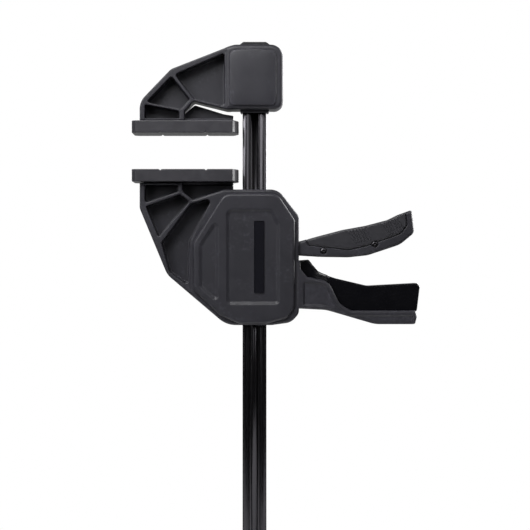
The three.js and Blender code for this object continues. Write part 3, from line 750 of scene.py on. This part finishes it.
def stand_for(obj, node):
    """Gives the object the CAD node's place and its slot's finish."""
    slot = SLOTS[node]
    obj.data.materials.clear()
    obj.data.materials.append(FINISHES[slot])
    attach(obj, frame["nodes"][node]["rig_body"])
    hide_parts(node)
    return obj


def piece(node, field, step=0.5):
    """Draws the piece that stands for a CAD node."""
    stand_for(surface(node, field, step), node)


# ---- Bar and fixed jaw ----

GROOVE_DEPTH = 1.3
GROOVE_FLOOR_HALF, GROOVE_HALF = 4.4, 5.0
LAND_EDGE, LAND_MIDDLE, LAND_CROWN = 4.3, 7.8, 0.15
BAR_CHAMFER, BAR_END_SHARE = 0.7, 0.93
DRILL_REACH, DRILL_SIDES = 9, 32
SHARP_ANGLE = math.radians(38)
HEAD_MIDDLE, HEAD_REACH = (-1.3, 47.5), (20.5, 25)
HEAD_CROWN = 0.9
ROUND_SIDES = 40


def bar_section():
    """The bar's section in u and y: a groove down each broad side, between crowned lands."""
    crown, floor = BAR_HALF_DEPTH + LAND_CROWN, BAR_HALF_DEPTH - GROOVE_DEPTH
    right = [
        (GROOVE_FLOOR_HALF, -floor, 0.4), (GROOVE_HALF, -LAND_EDGE, 0.4), (LAND_MIDDLE, -crown, 6),
        (BAR_HALF_WIDTH, -LAND_EDGE, 1.3),
    ]
    front = [(-u, y, r) for u, y, r in reversed(right)] + right
    return rounded(front + [(-u, -y, r) for u, y, r in front])


def swept(name, rings):
    """A closed mesh through rings of points, with its two ends filled."""
    count, around = len(rings), len(rings[0])
    points = np.concatenate(rings)
    first = np.arange(around)
    faces = []
    for i in range(count - 1):
        a, b = first + i * around, first + (i + 1) * around
        faces += np.stack([a, np.roll(a, -1), np.roll(b, -1), b], 1).tolist()
    faces += [first[::-1].tolist(), (first + (count - 1) * around).tolist()]
    mesh = bpy.data.meshes.new(name)
    mesh.from_pydata(in_metres(points).tolist(), [], faces)
    mesh.validate()
    mesh.shade_smooth()
    mesh.set_sharp_from_angle(angle=SHARP_ANGLE)
    return placed(mesh)


def ring_across(centre, radius, y, sides):
    """A ring of points round an axis that runs across the clamp."""
    angles = np.linspace(0, math.tau, sides, endpoint=False)
    u, z = centre[0] + radius * np.cos(angles), centre[1] - radius * np.sin(angles)
    return np.column_stack([u, np.full(sides, y), z])


def drill(obj, place, radius):
    """Drills a round hole across the bar."""
    ends = [ring_across(place, radius, y, DRILL_SIDES) for y in (-DRILL_REACH, DRILL_REACH)]
    tool = swept("drill", ends)
    hole = obj.modifiers.new("hole", "BOOLEAN")
    hole.operation = "DIFFERENCE"
    hole.solver = "EXACT"
    hole.object = tool
    settle(obj)
    bpy.data.objects.remove(tool)


def bar():
    section = bar_section()
    low, high = BAR_LOW.z / MM, BAR_HIGH.z / MM
    rings = []
    heights = low, low + BAR_CHAMFER, high - BAR_CHAMFER, high
    for z, share in zip(heights, (BAR_END_SHARE, 1, 1, BAR_END_SHARE)):
        rings.append(np.column_stack([section * share, np.full(len(section), z)]))
    obj = swept("bar_shape", rings)
    pin_low, pin_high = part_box("bar_stop_pin")
    drill(obj, (0, (pin_low.z + pin_high.z) / 2 / MM), STOP_PIN_RADIUS + GAP)
    for height in HEAD_PINS:
        drill(obj, (0, height), PIN_RADIUS + GAP)
    stand_for(obj, "bar")


def ribbed(arm, pockets, gusset):
    """An arm hollowed on both sides down to its web, with a gusset between root and foot."""
    hollows = [pocket(corners, WEB_HALF, ARM_HALF, edge=1.3) for corners in pockets]
    arm = cut(arm, *hollows, blend=0.9)
    return join(arm, slab(gusset, WEB_HALF, edge=0.8), blend=0.8)


def tongue(face, side):
    """The tongue of a foot, and the plate it stands on; side is +1 above the gap, -1 below."""
    back = PAD_THICKNESS + GAP
    heights = sorted((face + side * (PAD_SOLE + GAP), face + side * (PAD_THICKNESS + 1.5)))
    plate = sorted((face + side * back, face + side * (back + FOOT_THICKNESS)))
    return join(
        block((TENON_LEFT, TENON_RIGHT), TENON_HALF, heights, edge=0.6),
        block((FOOT_LEFT, FOOT_END), TENON_HALF, plate, edge=0.5))


def fixed_jaw():
    """The arm and the head block, with a collar round the bar under the head."""
    arm = slab(FIXED_JAW, ARM_HALF, edge=1.1)
    arm = common(arm, lambda u, y, z: u - FIXED_ARM_ROOT)
    jaw = join(arm, slab(HEAD, HEAD_HALF, edge=3.4), blend=0.5)
    jaw = ribbed(jaw, FIXED_POCKETS, FIXED_GUSSET)
    jaw = join(jaw, tongue(0, 1), slab(COLLAR, COLLAR_HALF, edge=0.5))
    pins = rods([(0, height) for height in HEAD_PINS], PIN_RADIUS + GAP)
    piece("fixed_jaw", cut(jaw, bar_slot(GAP, *FIXED_SLOT), *pins), step=0.6)


def head_cover(node, side):
    """A raised plate on the head, which falls away towards its sides."""
    flat = outline(HEAD_PANEL)

    def field(u, y, z):
        across = (u - HEAD_MIDDLE[0]) / HEAD_REACH[0]
        along = (z - HEAD_MIDDLE[1]) / HEAD_REACH[1]
        out = side * y - (HEAD_COVER_OUT - HEAD_CROWN * (across ** 4 + along ** 4))
        return np.maximum(meet(flat(u, z), out, 1.3), HEAD_HALF + GAP - side * y)

    piece(node, field)


def head_cap():
    """The cap over the end of the bar, with a shallow square sunk in its top."""
    low, sunk, above = HEAD_TOP + GAP, CAP_TOP - 0.5, CAP_TOP + 10.3
    shape = [(-13.4, low), (-9.8, CAP_TOP, 0.8), (10, CAP_TOP, 0.8), (14, low)]
    hollow = [(-7, sunk), (7, sunk), (7, above), (-7, above)]
    cap = cut(slab(shape, 8, edge=0.7), slab(hollow, 5))
    piece("head_top_cap", cap, step=0.3)


def pad(node, face, side):
    """A rubber pad: two cross notches in its face, and a pocket for the foot's tongue."""
    low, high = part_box(node)
    left, nose = low.x / MM - BAR_X, high.x / MM - BAR_X
    right = nose - 3.2
    back = face + side * PAD_THICKNESS
    plan = [
        (left, -PAD_HALF + 3.5, 1.2), (left + 3.5, -PAD_HALF, 1.2), (right - 2, -PAD_HALF, 1.2),
        (right, -PAD_HALF + 2.5, 1.2), (nose, -8, 3), (nose, 8, 3), (right, PAD_HALF - 2.5, 1.2),
        (right - 2, PAD_HALF, 1.2), (left + 3.5, PAD_HALF, 1.2), (left, PAD_HALF - 3.5, 1.2),
    ]
    shape = column(plan, *sorted((face, back)), edge=0.5)
    seat = block(
        (TENON_LEFT - GAP, TENON_RIGHT + GAP), TENON_HALF + GAP,
        sorted((face + side * PAD_SOLE, back + side * 2)), edge=0.3)
    mouth, root = face - side * 0.8, face + side * NOTCH_DEPTH
    notches = [
        slab([(x - NOTCH_HALF, mouth), (x, root), (x + NOTCH_HALF, mouth)], 30)
        for x in PAD_NOTCHES
    ]
    piece(node, cut(cut(shape, *notches, blend=0.5), seat))


def pin(node):
    """A hardened pin with chamfered ends and a centre mark in each."""
    low, high = (np.array(corner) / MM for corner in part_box(node))
    centre = ((low[0] + high[0]) / 2 - BAR_X, (low[2] + high[2]) / 2)
    radius, near, far = (high[2] - low[2]) / 2, low[1], high[1]
    end = [(near + 0.25, radius * 0.1), (near + 0.05, radius * 0.3), (near, radius * 0.34)]
    end += [(near, radius - 0.5), (near + 0.1, radius - 0.22), (near + 0.5, radius)]
    profile = end + [(near + far - y, r) for y, r in reversed(end)]
    rings = [ring_across(centre, r, y, ROUND_SIDES) for y, r in profile]
    stand_for(swept(f"{node}_shape", rings), node)


# ---- Sliding jaw ----

BODY_EDGE = 2.2
PANEL_DEPTH = 1.3
BOSS_RADIUS, PEG_RADIUS, SCREW_COLLAR = 4.6, 1.8, 5
SCREW_HEAD_ROOM = 3.6
LUG_REACH = 6


def sliding_arm():
    """The arm with its foot, and the body that it widens into, still solid."""
    wide = slab(SLIDING_JAW, BODY_HALF, BODY_EDGE)
    wide = common(wide, lambda u, y, z: BODY_LEFT - u)
    arm = join(slab(SLIDING_JAW, ARM_HALF, edge=1.2), wide)
    arm = ribbed(arm, SLIDING_POCKETS, SLIDING_GUSSET)
    return join(arm, tongue(-JAW_OPENING, -1))


def lugs(place, half_height):
    """Lugs on the left wall that carry a pivot pin on both sides."""
    (u, z), wall = place, -49
    corners = [
        (wall, z - half_height), (wall, z + half_height), (u + LUG_REACH, z + half_height, 5),
        (u + LUG_REACH, z - half_height, 5),
    ]
    return pair(corners, 12, BODY_HALF - 0.5, edge=0.5)


def supports():
    """What carries the mechanism: screw bosses, the pins' lugs, and the springs' seats."""
    bosses = rods(COVER_SCREWS, BOSS_RADIUS, 0.5 - BODY_HALF, BODY_HALF - 0.5, edge=0.4)
    shelf = cut(
        block((-52, 18), 15, (SHELF_BOTTOM, SHELF_TOP), edge=0.4),
        bar_slot(1, SHELF_BOTTOM - 1, SHELF_TOP + 1))
    ledge = block((12.8, 33), 8, (LEDGE_TOP - 3.5, LEDGE_TOP), edge=0.4)
    return [*bosses, lugs(TRIGGER_PIVOT, 8), lugs(RELEASE_PIVOT, 5.5), shelf, ledge]


def handle():
    """The fixed handle: a channel for the release lever, and a sunk panel on each side."""
    panel = pocket(HANDLE_PANEL, BODY_HALF - PANEL_DEPTH, BODY_HALF, edge=0.4, draft=1.0)
    solid = cut(slab(HANDLE, BODY_HALF, BODY_EDGE), panel, blend=0.5)
    return cut(solid, slab(CHANNEL, SLOT_HALF, edge=1.0), blend=0.6)


def sliding_frame():
    """The sliding jaw's one moulding, with the mechanism's space and holes cut in it."""
    body = cut(sliding_arm(), slab(BODY_CAVITY, THROUGH), blend=0.4)
    body = join(body, *supports(), handle())
    lever_slot = block((29, 39.7), SLOT_HALF, (-124.9, -90), edge=0.5)
    guide_seat = cut(block((-13.8, 13.8), 8.8, (-168, -40)), slab(BODY_CAVITY, 12))
    holes = rods(COVER_SCREWS, 2.1) + rods((TRIGGER_PIVOT, RELEASE_PIVOT), PIN_RADIUS + GAP)
    body = cut(body, lever_slot, guide_seat, *holes, bar_slot(GAP, *SLIDING_SLOT))
    piece("sliding_jaw_frame", body, step=0.75)


def body_cover(node, side):
    """An eight-sided cover with two sunk panels; the front one has pegs, the rear one screws."""
    inner = BODY_HALF + GAP
    flat = outline(BODY_COVER)

    def plate(u, y, z):
        return np.maximum(meet(flat(u, z), side * y - COVER_OUT, 2.5), inner - side * y)

    floor = COVER_OUT - RECESS_DEPTH
    recesses = [pocket(c, floor, COVER_OUT, edge=0.4, draft=1.7) for c in COVER_RECESSES]
    cover = cut(plate, *recesses, blend=0.4)
    if side < 0:
        cover = join(cover, *rods(COVER_SCREWS, PEG_RADIUS, -18, -14.5, edge=0.3))
    else:
        cover = join(cover, *rods(COVER_SCREWS, SCREW_COLLAR, inner, COVER_OUT, edge=0.4))
        cover = cut(cover, *rods(COVER_SCREWS, SCREW_BORE, 16, 22))
        cover = cut(cover, *rods(COVER_SCREWS, SCREW_HEAD_ROOM, 18.4, 22), blend=0.4)
    piece(node, cover)


def label_strip(node, side):
    """A blank strip set in the cover, framed by a fine raised rim."""
    inner = COVER_OUT - RECESS_DEPTH + GAP
    flat = outline(LABEL)

    def field(u, y, z):
        rim = flat(u, z)
        top = inner + np.where(rim > -0.7, np.float32(0.6), np.float32(0.4))
        return np.maximum(meet(rim, side * y - top, 0.15), inner - side * y)

    piece(node, field, step=0.3)


def bar_guide(node):
    """A bush that the bar runs in."""
    low, high = (corner.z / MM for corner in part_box(node))
    bush = block((-13.5, 13.5), 8.5, (low, high), edge=0.6)
    bush = cut(bush, bar_slot(0.15, low - 1, high + 1), blend=0.4)
    piece(node, bush)


HEAD_SEAT = 1.5
THREAD_PITCH, THREAD_HEIGHT = 0.9, 0.12
CROSS_TAPER, CROSS_HALF = 0.42, 0.3


def screw(node, place, head, shank, top, tip):
    """A cross-head screw with a domed head and a fine thread."""
    out = math.copysign(1, top)
    length, bend = abs(top - tip), 2.2 * head

    def field(u, y, z):
        du, dz = u - place[0], z - place[1]
        radius, depth = np.hypot(du, dz), (top - y) * out
        dome = np.hypot(radius, depth - bend - 0.35) - bend - 0.35
        cap = np.maximum(np.maximum(radius - head, dome), depth - HEAD_SEAT)
        thread = THREAD_HEIGHT * np.sin(math.tau * depth / THREAD_PITCH - np.arctan2(dz, du))
        stem = np.maximum(
            radius - shank + THREAD_HEIGHT - thread, np.abs(depth - length / 2) - length / 2)
        one, other = np.abs(du + dz), np.abs(du - dz)
        wings = np.minimum(
            np.maximum(one, CROSS_TAPER * other), np.maximum(other, CROSS_TAPER * one))
        cross = np.maximum(wings / math.sqrt(2) - CROSS_HALF, depth - 1.1 + radius * 0.35)
        return np.maximum(np.minimum(cap, stem), -np.maximum(cross, radius - head * 0.62))

    piece(node, field, step=0.15)


# ---- Trigger ----

RIDGE_GROUPS = (((82, -82.6), (95, -80.2)), ((111.5, -76), (123, -71.5)))
RIDGE_COUNT = 6
RIDGE_FALL = (5.2, -9.2)
RIDGE_RADIUS, RIDGE_SUNK, RIDGE_DROP = 0.85, 0.25, 2.4
SHELL_SCREW_HEAD, GRIP_SCREW_HEAD = 2.9, 3.1


def ridge(start):
    """A rounded rib on both faces of the grip, running down from a start."""
    fall = RIDGE_FALL

    def field(u, y, z):
        du, dz = u - start[0], z - start[1]
        along = np.clip((du * fall[0] + dz * fall[1]) / (fall[0] ** 2 + fall[1] ** 2), 0, 1)
        away = np.hypot(du - along * fall[0], dz - along * fall[1])
        return np.hypot(away, np.abs(y) - GRIP_HALF + RIDGE_SUNK) - RIDGE_RADIUS

    return field


def ridges():
    """Two groups of ribs, each along a line just inside the grip's upper edge."""
    made = []
    for first, last in RIDGE_GROUPS:
        for share in np.linspace(0, 1, RIDGE_COUNT).tolist():
            start = [a + (b - a) * share for a, b in zip(first, last)]
            made.append(ridge((start[0], start[1] - RIDGE_DROP)))
    return made


def cheek_room():
    """The room that the yoke's cheeks need."""
    return grown(pair(CHEEK, CHEEK_INNER, CHEEK_OUTER), GAP)


def trigger_shell(node, side):
    """One half of the trigger's shell, with its half of the tongue that holds the grip."""
    shells = slab(TRIGGER, TRIGGER_HALF, edge=2.5)
    shells = cut(shells, grown(slab(TRIGGER_GRIP, THROUGH), GAP), blend=0.5)
    shells = join(shells, slab(TONGUE, TONGUE_HALF, edge=0.6))
    bridge = block((62.7, 71.3), 10, (-102.3, -95.7))
    fork = block((30, 58), CHEEK_OUTER + GAP, (-110, -95.6), edge=0.4)
    shells = cut(shells, cheek_room(), bridge, fork)
    shells = cut(shells, *rods(TRIGGER_SCREWS, SCREW_BORE, high=8.6))
    shells = cut(shells, *rods(TRIGGER_SCREWS, SHELL_SCREW_HEAD, high=-12.1), blend=0.5)
    piece(node, common(shells, lambda u, y, z: GAP / 2 - side * y))


def trigger_grip():
    """The soft cap over the trigger's upper edge."""
    grip = slab(TRIGGER_GRIP, GRIP_HALF, edge=2.0)
    grip = join(grip, *ridges(), blend=0.4)
    inside = grown(slab(TONGUE, TONGUE_HALF), GAP)
    head_room = rod(TRIGGER_SCREWS[1], GRIP_SCREW_HEAD, -THROUGH, -10)
    piece("trigger_grip", cut(grip, inside, cheek_room(), head_room), step=0.4)


def trigger_yoke():
    """Two steel cheeks either side of the bar, joined by a bridge in the trigger."""
    yoke = join(
        pair(CHEEK, CHEEK_INNER, CHEEK_OUTER, edge=0.4),
        block((63, 71), 8.8, (-102, -96), edge=0.4))
    holes = rods([TRIGGER_PIVOT], PIN_RADIUS + GAP) + rods(TRIGGER_SCREWS[:1], SCREW_BORE)
    piece("trigger_yoke", cut(yoke, *holes))


# ---- Drive and brake ----

SLOT_REACH = 9
LEVER_SPREADS = (49, 18)
COIL_SIDES, COIL_STEPS = 12, 40
CLOSED_TURNS, COIL_RISE = 0.75, 0.86


def drive_plate(index):
    """One of the plates that grip the bar when the trigger tips them."""
    top = PLATE_TOP - index * (PLATE_THICKNESS + GAP)
    plan = [(-PLATE_REACH, -PLATE_HALF, 3), (PLATE_REACH, -PLATE_HALF, 3)]
    plan += [(-u, -y, r) for u, y, r in plan]
    plate = column(plan, top - PLATE_THICKNESS, top, edge=0.4)
    plate = cut(plate, bar_slot(0.4, top - SLOT_REACH, top + SLOT_REACH))
    piece(f"drive_plate_{index + 1}", plate)


def brake_plate():
    """The plate that holds the bar, with a hub on its pin and a tab for the lever."""
    pivot = RELEASE_PIVOT[0]
    half = [
        (pivot, -BRAKE_HALF), (18, -BRAKE_HALF, 3), (22, -BRAKE_TAB_HALF, 1),
        (BRAKE_RIGHT, -BRAKE_TAB_HALF, 1),
    ]
    plan = half + [(u, -y, *radius) for u, y, *radius in reversed(half)]
    plate = join(
        column(plan, BRAKE_BOTTOM, BRAKE_TOP, edge=0.4),
        rod(RELEASE_PIVOT, BRAKE_HUB, -BRAKE_HALF, BRAKE_HALF, edge=0.4), blend=0.8)
    slot = bar_slot(0.8, BRAKE_BOTTOM - SLOT_REACH, BRAKE_TOP + SLOT_REACH)
    piece("brake_plate", cut(plate, slot, *rods([RELEASE_PIVOT], PIN_RADIUS + GAP)))


def release_lever():
    """The lever in the handle: a narrow neck that spreads into the thumb plate."""
    neck, thumb = outline(LEVER_NECK), outline(LEVER)
    start, reach = LEVER_SPREADS

    def lever(u, y, z):
        share = np.clip((u - start) / reach, 0, 1)
        half = NECK_HALF + (LEVER_HALF - NECK_HALF) * share * share * (3 - 2 * share)
        return meet(softer(neck(u, z), thumb(u, z), 3.0), np.abs(y) - half, 1.6)

    tab = block((15, BRAKE_RIGHT + GAP), 8, (BRAKE_BOTTOM - GAP, BRAKE_TOP + GAP))
    piece("release_lever", cut(lever, tab))


def coil(node, radius, wire, centre, windings):
    """A compression spring with closed ends."""
    low, high = (corner.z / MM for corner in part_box(node))
    low, high = low + wire, high - wire
    share = np.linspace(0, 1, int(windings * COIL_STEPS) + 1)
    closed = CLOSED_TURNS / windings
    rise = np.clip((share - closed) / (1 - 2 * closed), 0, 1)
    rise = rise * COIL_RISE + (1 - COIL_RISE) * share
    rings = []
    angles = np.linspace(0, math.tau, COIL_SIDES, endpoint=False)
    for a, r in zip(share * windings * math.tau, rise):
        out = np.array([math.cos(a), math.sin(a), 0])
        middle = np.array([centre, 0, low + (high - low) * r]) + radius * out
        section = np.outer(np.cos(angles), out) + np.outer(np.sin(angles), (0, 0, 1))
        rings.append(middle + wire * section)
    spring = stand_for(swept(f"{node}_shape", rings), node)
    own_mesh(spring)


# ---- Stage, light and camera ----

CAMERA_SIDE = 9.13
CAMERA_DISTANCE = 1622.0
CAMERA_HEIGHT = -113.95
VIEW_WIDTH = 462.1
SENSOR = 36.0
FLOOR_HALF, FLOOR_DROP = 0.36, 0.0005
FLOOR_GREYS = (0.56, 0.56, 0.56), (0.6, 0.6, 0.6)
FLOOR_GLOW = 0.1
ROOM_RAMP = {"From Min": 0.0, "From Max": 0.8, "To Min": 0.03, "To Max": 0.42}
LIGHT_TARGET = (BAR_X * MM, 0, -0.02)
# Each lamp's name, place and size in metres, and power in watts.
LAMPS = (
    ("key", (-0.16, -0.42, 0.42), (0.5, 0.4), 4.6),
    ("left_front", (-0.7, -1.0, 0.4), (0.3, 0.8), 3.8),
    ("right_front", (0.7, -1.05, 0.42), (0.3, 0.75), 1.8),
    ("right_side", (1.0, 0.35, 0.25), (0.5, 0.7), 18),
    ("right_rear", (0.7, 1.1, 0.25), (0.4, 0.7), 12),
    ("left_rear", (-0.8, 1.1, 0.25), (0.4, 0.7), 9),
)


def pale_stage(name):
    """A pale paper floor with a faint mottle."""
    look = Look(name, roughness=0.8, specular=0.2)
    look.drive("Base Color", look.mix(look.noise(180, 3), *FLOOR_GREYS))
    look.shader.inputs["Emission Color"].default_value = (1, 1, 1, 1)
    look.shader.inputs["Emission Strength"].default_value = FLOOR_GLOW
    return look.material


def floor():
    """A pale sheet that the bar stands on."""
    height = CAD_BOX[0].z - FLOOR_DROP
    sides = ((-1, -1), (1, -1), (1, 1), (-1, 1))
    corners = [(a * FLOOR_HALF + BAR_X * MM, b * FLOOR_HALF, height) for a, b in sides]
    sheet = placed(mesh_from("floor", np.array(corners), np.array([[0, 1, 2, 3]])))
    sheet.data.materials.append(pale_stage("pale_floor"))


def soft_box(name, place, size, power):
    """A rectangular soft light that faces the clamp."""
    light = bpy.data.lights.new(name, "AREA")
    light.shape = "RECTANGLE"
    light.size, light.size_y = size
    light.energy = power
    lamp = bpy.data.objects.new(name, light)
    lamp.location = place
    facing = Vector(LIGHT_TARGET) - Vector(place)
    lamp.rotation_euler = facing.to_track_quat("-Z", "Y").to_euler()
    lamp.visible_camera = False
    bpy.context.scene.collection.objects.link(lamp)


def room():
    """White paper for the camera, and for light a room that is bright behind the clamp."""
    world = bpy.data.worlds.new("studio")
    world.use_nodes = True
    tree = world.node_tree
    tree.nodes.clear()
    towards, split, span, walls, paper, seen, mix, out = (
        tree.nodes.new(f"ShaderNode{kind}") for kind in (
            "TexCoord", "SeparateXYZ", "MapRange", "Background", "Background", "LightPath",
            "MixShader", "OutputWorld"))
    for name, value in ROOM_RAMP.items():
        span.inputs[name].default_value = value
    walls.inputs["Color"].default_value = (1, 1, 1, 1)
    paper.inputs["Color"].default_value = (1, 1, 1, 1)
    for source, target in (
            (towards.outputs["Generated"], split.inputs[0]),
            (split.outputs["Y"], span.inputs["Value"]),
            (span.outputs[0], walls.inputs["Strength"]),
            (seen.outputs["Is Camera Ray"], mix.inputs[0]),
            (walls.outputs[0], mix.inputs[1]), (paper.outputs[0], mix.inputs[2]),
            (mix.outputs[0], out.inputs["Surface"])):
        tree.links.new(source, target)
    return world


def studio():
    """The room, with soft boxes above, in front and to the sides."""
    bpy.context.scene.world = room()
    bpy.context.scene.view_settings.view_transform = "Standard"
    for lamp in LAMPS:
        soft_box(*lamp)


def camera():
    """The camera that sees the clamp from its front side, level and far off."""
    data = bpy.data.cameras.new("camera")
    data.sensor_width = SENSOR
    data.lens = SENSOR * CAMERA_DISTANCE / VIEW_WIDTH
    data.clip_end = 100
    eye = bpy.data.objects.new("camera", data)
    eye.location = in_metres((CAMERA_SIDE, -CAMERA_DISTANCE, CAMERA_HEIGHT))
    eye.rotation_euler = (math.pi / 2, 0, 0)
    bpy.context.scene.collection.objects.link(eye)
    bpy.context.scene.camera = eye


# ---- Assembly ----

studio()
camera()
floor()
bar()
pin("bar_stop_pin")
fixed_jaw()
head_cover("head_cover_front", -1)
head_cover("head_cover_rear", 1)
head_cap()
pin("head_pin_1")
pin("head_pin_2")
pad("fixed_pad", 0, 1)
sliding_frame()
body_cover("body_cover_front", -1)
body_cover("body_cover_rear", 1)
label_strip("label_strip_front", -1)
label_strip("label_strip_rear", 1)
pad("sliding_pad", -JAW_OPENING, -1)
bar_guide("upper_bar_guide")
bar_guide("lower_bar_guide")
for index, place in enumerate(COVER_SCREWS):
    screw(f"cover_screw_{index + 1}", place, 3.2, 1.6, 20.1, -12)
pin("trigger_pivot_pin")
pin("release_pivot_pin")
trigger_yoke()
trigger_shell("trigger_shell_front", -1)
trigger_shell("trigger_shell_rear", 1)
trigger_grip()
for index, place in enumerate(TRIGGER_SCREWS):
    screw(f"trigger_screw_{index + 1}", place, 2.3, 1.5, -13.6, 8)
for index in range(PLATE_COUNT):
    drive_plate(index)
coil("drive_spring", 12.5, 0.9, 0, 3.5)
brake_plate()
release_lever()
coil("brake_spring", 3.0, 0.6, BRAKE_SPRING_X, 4)
